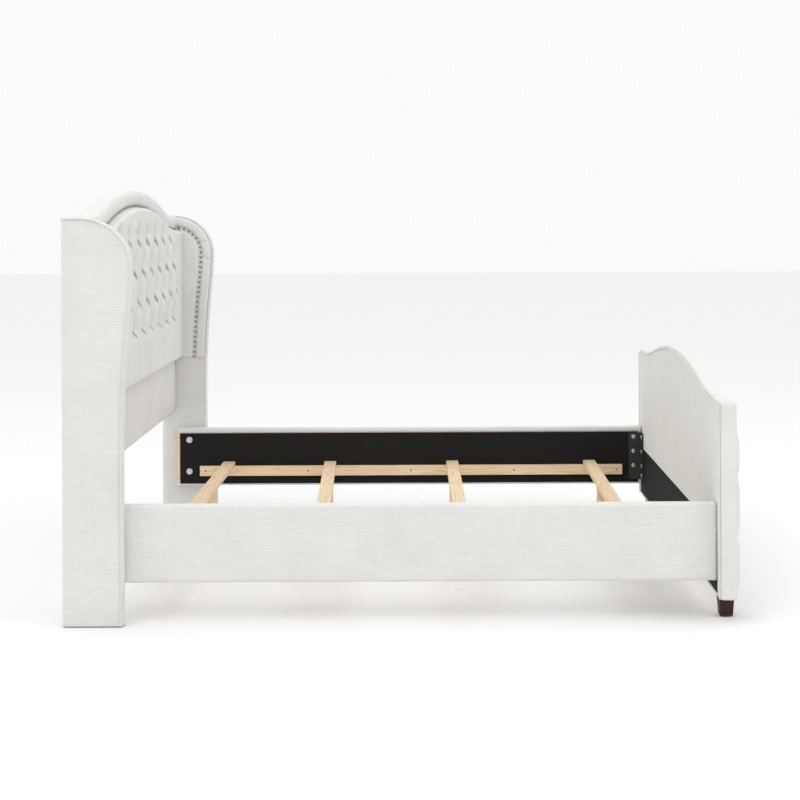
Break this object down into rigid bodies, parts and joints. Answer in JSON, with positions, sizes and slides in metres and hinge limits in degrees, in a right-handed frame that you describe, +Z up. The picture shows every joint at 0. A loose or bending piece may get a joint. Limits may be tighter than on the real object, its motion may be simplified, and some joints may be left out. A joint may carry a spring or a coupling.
{
  "type": "panel bed",
  "caption": "Upholstered wing bed with a camelback diamond-tufted headboard, nailhead trim, padded side rails, wooden slats on legs and a matching footboard.",
  "frame": {"origin": "on the floor, under the middle of the bed's bounding box", "axes": "+X from the headboard to the footboard, +Y across the bed to its right side seen from above with the head at the left and the camera on the -Y side, +Z up"},
  "size_m": [2.192, 2.15, 1.423],
  "materials": {
    "linen": "slubby woven linen, ivory",
    "lining": "black nonwoven lining",
    "backing": "plain woven back cloth",
    "pine": "planed raw pine",
    "frame_wood": "raw plywood and pine",
    "dark_wood": "espresso stain, satin",
    "nails": "antique pewter and brown",
    "bracket": "black powder coat",
    "zinc": "zinc plated",
    "glides": "moulded plastic"
  },
  "bodies": {
    "root": {"bracket_bolts": "zinc", "foot_bracket_left": "bracket", "foot_bracket_right": "bracket", "footboard_board": "frame_wood", "footboard_border_pad": "linen", "footboard_bottom_rail": "frame_wood", "footboard_inner_cover": "linen", "footboard_leg_left": "dark_wood", "footboard_leg_right": "dark_wood", "footboard_lining": "lining", "footboard_post_left": "frame_wood", "footboard_post_right": "frame_wood", "footboard_tufted_pad": "linen", "footboard_welt": "linen", "glides": "glides", "hanger_bolts": "zinc", "headboard_back_cover": "backing", "headboard_board": "frame_wood", "headboard_bottom_rail": "frame_wood", "headboard_crest_band": "linen", "headboard_crest_rail": "frame_wood", "headboard_lower_pad": "linen", "headboard_stile_left": "frame_wood", "headboard_stile_right": "frame_wood", "headboard_tufted_pad": "linen", "nailheads": "nails", "rail_board_left": "frame_wood", "rail_board_right": "frame_wood", "rail_cover_left": "linen", "rail_cover_right": "linen", "rail_ledger_left": "pine", "rail_ledger_right": "pine", "rail_lining_left": "lining", "rail_lining_right": "lining", "slat_1": "pine", "slat_1_leg_left": "pine", "slat_1_leg_right": "pine", "slat_2": "pine", "slat_2_leg_left": "pine", "slat_2_leg_right": "pine", "slat_3": "pine", "slat_3_leg_left": "pine", "slat_3_leg_right": "pine", "slat_4": "pine", "slat_4_leg_left": "pine", "slat_4_leg_right": "pine", "tee_nuts": "zinc", "tuft_buttons": "linen", "wing_bolts": "zinc", "wing_border_pad_left": "linen", "wing_border_pad_right": "linen", "wing_core_left": "frame_wood", "wing_core_right": "frame_wood", "wing_cover_left": "linen", "wing_cover_right": "linen", "wing_inner_panel_left": "linen", "wing_inner_panel_right": "linen", "wing_welt_left": "linen", "wing_welt_right": "linen", "wood_screws": "zinc"}
  },
  "joints": []
}
